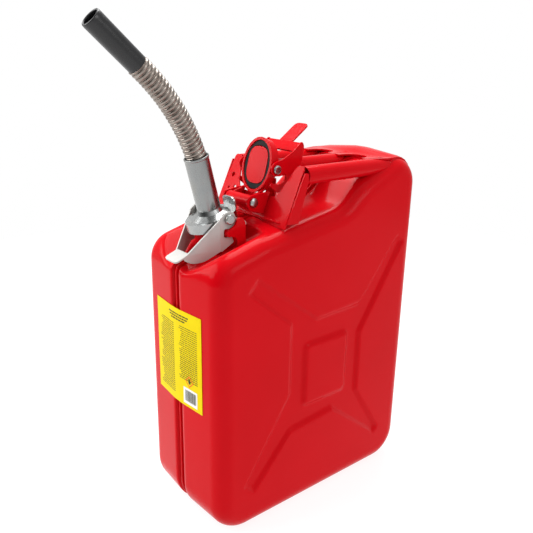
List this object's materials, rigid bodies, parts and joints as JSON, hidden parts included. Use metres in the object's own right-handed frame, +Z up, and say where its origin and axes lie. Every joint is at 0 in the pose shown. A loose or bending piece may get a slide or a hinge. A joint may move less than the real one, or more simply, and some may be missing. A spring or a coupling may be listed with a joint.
{
  "type": "safety gas can",
  "caption": "Pressed-steel fuel can with carry tubes, a clamped flexible pouring spout and a hinged filler cap with a locking lever.",
  "frame": {"origin": "middle of the whole object's footprint, on the floor that it stands on", "axes": "+Z up; -X is the side the spout pours towards, +X the back; the broad faces look along -Y and +Y; rest is the spout clamped shut and the cap swung open to its rear stop"},
  "size_m": [0.437, 0.165, 0.6249],
  "materials": {
    "red_paint": "gloss",
    "zinc_plate": "zinc plated",
    "hose_steel": "satin",
    "black_rubber": "matte",
    "black_plastic": "satin",
    "yellow_label": "satin film"
  },
  "bodies": {
    "can": {"shell_far": "red_paint", "shell_near": "red_paint", "neck": "red_paint", "neck_lug_far": "red_paint", "neck_lug_near": "red_paint", "handle_near": "red_paint", "handle_middle": "red_paint", "handle_far": "red_paint", "handle_stay": "red_paint", "handle_web": "red_paint", "cap_bracket": "red_paint", "cap_hinge_pin": "zinc_plate", "spout_base": "zinc_plate", "spout_tube": "zinc_plate", "spout_vent_tube": "zinc_plate", "spout_rivet_near": "zinc_plate", "spout_rivet_far": "zinc_plate", "breather_tube": "zinc_plate", "spout_seal": "black_rubber", "label": "yellow_label"},
    "cap": {"cap_cup": "red_paint", "cap_gasket": "black_rubber", "cap_rivet_near": "zinc_plate", "cap_rivet_far": "zinc_plate"},
    "cap_lever": {"cap_lever": "red_paint"},
    "spout_lever": {"spout_lever": "zinc_plate"},
    "hose_1_link": {"hose_1": "hose_steel"},
    "hose_2_link": {"hose_2": "hose_steel"},
    "hose_3_link": {"hose_3": "hose_steel"},
    "hose_4_link": {"hose_4": "hose_steel"},
    "hose_5_link": {"hose_5": "hose_steel"},
    "hose_6_link": {"hose_6": "hose_steel"},
    "hose_7_link": {"hose_7": "hose_steel"},
    "hose_8_link": {"hose_8": "hose_steel", "nozzle": "black_plastic"}
  },
  "joints": [
    {"name": "cap_hinge", "type": "hinge", "parent": "can", "child": "cap", "pos_m": [-0.03002, 0, 0.417], "axis": [0, 1, 0], "range_deg": [-50, 0]},
    {"name": "cap_lever_hinge", "type": "hinge", "parent": "cap", "child": "cap_lever", "pos_m": [-0.00002, 0, 0.455], "axis": [0, 1, 0], "range_deg": [-40, 0]},
    {"name": "spout_lever_hinge", "type": "hinge", "parent": "can", "child": "spout_lever", "pos_m": [-0.07152, 0, 0.404], "axis": [0, 1, 0], "range_deg": [0, 40]},
    {"name": "hose_1_bend", "type": "hinge", "parent": "can", "child": "hose_1_link", "pos_m": [-0.09383, 0, 0.47436], "axis": [0, -1, 0], "range_deg": [-3.5, 2.5]},
    {"name": "hose_2_bend", "type": "hinge", "parent": "hose_1_link", "child": "hose_2_link", "pos_m": [-0.09954, 0, 0.48851], "axis": [0, -1, 0], "range_deg": [-3.5, 2.5]},
    {"name": "hose_3_bend", "type": "hinge", "parent": "hose_2_link", "child": "hose_3_link", "pos_m": [-0.10615, 0, 0.50225], "axis": [0, -1, 0], "range_deg": [-3.5, 2.5]},
    {"name": "hose_4_bend", "type": "hinge", "parent": "hose_3_link", "child": "hose_4_link", "pos_m": [-0.11364, 0, 0.51553], "axis": [0, -1, 0], "range_deg": [-3.5, 2.5]},
    {"name": "hose_5_bend", "type": "hinge", "parent": "hose_4_link", "child": "hose_5_link", "pos_m": [-0.12197, 0, 0.52831], "axis": [0, -1, 0], "range_deg": [-3.5, 2.5]},
    {"name": "hose_6_bend", "type": "hinge", "parent": "hose_5_link", "child": "hose_6_link", "pos_m": [-0.1311, 0, 0.54052], "axis": [0, -1, 0], "range_deg": [-3.5, 2.5]},
    {"name": "hose_7_bend", "type": "hinge", "parent": "hose_6_link", "child": "hose_7_link", "pos_m": [-0.14101, 0, 0.55212], "axis": [0, -1, 0], "range_deg": [-3.5, 2.5]},
    {"name": "hose_8_bend", "type": "hinge", "parent": "hose_7_link", "child": "hose_8_link", "pos_m": [-0.15164, 0, 0.56305], "axis": [0, -1, 0], "range_deg": [-3.5, 2.5]}
  ],
  "couplings": [
    {"joint": "hose_2_bend", "follows": "hose_1_bend", "ratio": 1},
    {"joint": "hose_3_bend", "follows": "hose_1_bend", "ratio": 1},
    {"joint": "hose_4_bend", "follows": "hose_1_bend", "ratio": 1},
    {"joint": "hose_5_bend", "follows": "hose_1_bend", "ratio": 1},
    {"joint": "hose_6_bend", "follows": "hose_1_bend", "ratio": 1},
    {"joint": "hose_7_bend", "follows": "hose_1_bend", "ratio": 1},
    {"joint": "hose_8_bend", "follows": "hose_1_bend", "ratio": 1}
  ]
}
